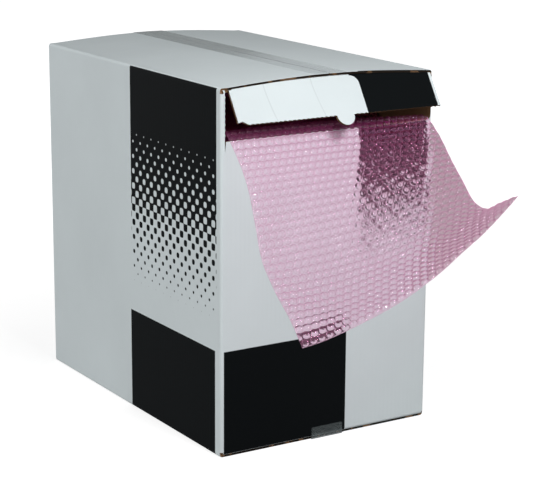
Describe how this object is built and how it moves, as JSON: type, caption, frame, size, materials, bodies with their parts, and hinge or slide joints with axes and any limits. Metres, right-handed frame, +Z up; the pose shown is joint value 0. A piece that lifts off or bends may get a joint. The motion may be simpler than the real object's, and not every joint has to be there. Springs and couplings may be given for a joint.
{
  "type": "dispenser carton of bubble film",
  "caption": "Roll of pink air-bubble film lying in a corrugated dispenser carton, with one sheet drawn out of the torn-open slot under its hinged flap",
  "frame": {"origin": "middle of the carton's underside", "axes": "+Z up, -Y towards the dispensing side, X along the roll's axis"},
  "size_m": [0.32, 0.6893, 0.4802],
  "materials": {
    "board": "satin coated white liner with black print, kraft brown inside and at its cut edges",
    "film": "glossy, clear pink film with air bubbles",
    "tape": "glossy, clear, slightly grey"
  },
  "bodies": {
    "box": {"carton": "board", "bubble_film": "film", "top_tape": "tape", "bottom_tape": "tape"},
    "flap": {"dispenser_flap": "board"}
  },
  "joints": [
    {"name": "flap_crease", "type": "hinge", "parent": "box", "child": "flap", "pos_m": [0.0035, -0.241, 0.4682], "axis": [-1, 0, 0], "range_deg": [-8, 118]}
  ]
}
